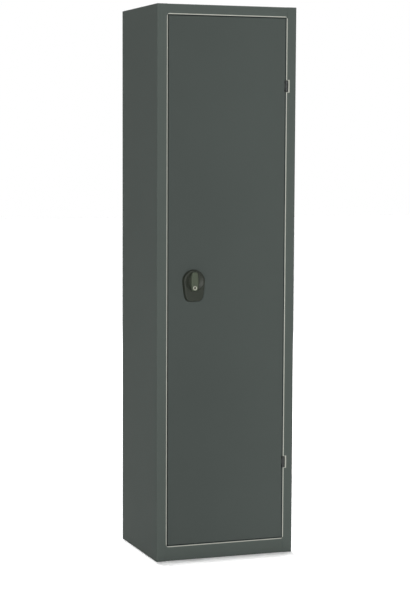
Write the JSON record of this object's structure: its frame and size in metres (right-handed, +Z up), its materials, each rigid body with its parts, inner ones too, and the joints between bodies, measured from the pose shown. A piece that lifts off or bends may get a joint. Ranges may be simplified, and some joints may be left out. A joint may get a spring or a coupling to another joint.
{
  "type": "side locker",
  "caption": "Tall narrow sheet-steel locker with one flush hinged door, a keyed turn handle that drives lock rods, and shelves on slotted posts.",
  "frame": {"origin": "on the floor, in the middle of the locker's outline from side to side and from the front of the handle to the back", "axes": "+Z up, -Y out of the door, +X to the right for someone facing the door"},
  "size_m": [0.53, 0.4364, 2],
  "materials": {
    "carcass_paint": "satin powder coat, fine texture",
    "door_paint": "satin powder coat, fine texture",
    "shelf_paint": "satin powder coat, fine texture",
    "zinc_plate": "zinc plated",
    "hinge_steel": "dark oiled steel",
    "bright_metal": "bright nickel",
    "housing_plastic": "fine moulded grain",
    "handle_plastic": "fine moulded grain",
    "buffer_rubber": "matt"
  },
  "bodies": {
    "carcass": {"left_side_panel": "carcass_paint", "right_side_panel": "carcass_paint", "top_panel": "carcass_paint", "plinth_rail": "carcass_paint", "floor_panel": "carcass_paint", "door_stop": "carcass_paint", "back_panel": "carcass_paint", "shelf_post_front_left": "shelf_paint", "shelf_post_rear_left": "shelf_paint", "shelf_post_front_right": "shelf_paint", "shelf_post_rear_right": "shelf_paint", "shelf_1": "shelf_paint", "shelf_2": "shelf_paint", "shelf_3": "shelf_paint", "shelf_4": "shelf_paint", "shelf_1_clip_front_left": "zinc_plate", "shelf_1_clip_rear_left": "zinc_plate", "shelf_1_clip_front_right": "zinc_plate", "shelf_1_clip_rear_right": "zinc_plate", "shelf_2_clip_front_left": "zinc_plate", "shelf_2_clip_rear_left": "zinc_plate", "shelf_2_clip_front_right": "zinc_plate", "shelf_2_clip_rear_right": "zinc_plate", "shelf_3_clip_front_left": "zinc_plate", "shelf_3_clip_rear_left": "zinc_plate", "shelf_3_clip_front_right": "zinc_plate", "shelf_3_clip_rear_right": "zinc_plate", "shelf_4_clip_front_left": "zinc_plate", "shelf_4_clip_rear_left": "zinc_plate", "shelf_4_clip_front_right": "zinc_plate", "shelf_4_clip_rear_right": "zinc_plate", "top_keeper": "zinc_plate", "bottom_keeper": "zinc_plate", "upper_door_buffer": "buffer_rubber", "lower_door_buffer": "buffer_rubber", "upper_hinge_frame_leaf": "hinge_steel", "lower_hinge_frame_leaf": "hinge_steel", "upper_hinge_pin": "hinge_steel", "lower_hinge_pin": "hinge_steel"},
    "door": {"door_panel": "door_paint", "door_hinge_upright": "door_paint", "door_lock_upright": "door_paint", "door_top_strip": "door_paint", "door_bottom_strip": "door_paint", "door_stiffener": "door_paint", "upper_hinge_door_leaf": "hinge_steel", "lower_hinge_door_leaf": "hinge_steel", "handle_housing": "housing_plastic", "lock_case": "zinc_plate", "lock_cover": "zinc_plate", "lock_screw_left": "zinc_plate", "lock_screw_right": "zinc_plate", "upper_rod_guide": "zinc_plate", "lower_rod_guide": "zinc_plate"},
    "handle": {"turn_handle": "handle_plastic", "drive_pinion": "zinc_plate", "cylinder_bezel": "bright_metal"},
    "key": {"key_cylinder": "bright_metal"},
    "upper_rod": {"upper_lock_rod": "zinc_plate"},
    "lower_rod": {"lower_lock_rod": "zinc_plate"}
  },
  "joints": [
    {"name": "door_swing", "type": "hinge", "parent": "carcass", "child": "door", "pos_m": [0.2285, -0.1938, 1], "axis": [0, 0, 1], "range_deg": [0, 120]},
    {"name": "handle_turn", "type": "hinge", "parent": "door", "child": "handle", "pos_m": [-0.128, -0.2, 1.018], "axis": [0, 1, 0], "range_deg": [0, 90]},
    {"name": "upper_bolt_slide", "type": "slide", "parent": "door", "child": "upper_rod", "axis": [0, 0, 1], "range_m": [0, 0.0151]},
    {"name": "lower_bolt_slide", "type": "slide", "parent": "door", "child": "lower_rod", "axis": [0, 0, -1], "range_m": [0, 0.0151]},
    {"name": "key_turn", "type": "hinge", "parent": "handle", "child": "key", "pos_m": [-0.128, -0.2, 0.995], "axis": [0, 1, 0], "range_deg": [0, 90]}
  ],
  "couplings": [
    {"joint": "upper_bolt_slide", "follows": "handle_turn", "m_per_rad": 0.0096},
    {"joint": "lower_bolt_slide", "follows": "handle_turn", "m_per_rad": 0.0096}
  ]
}
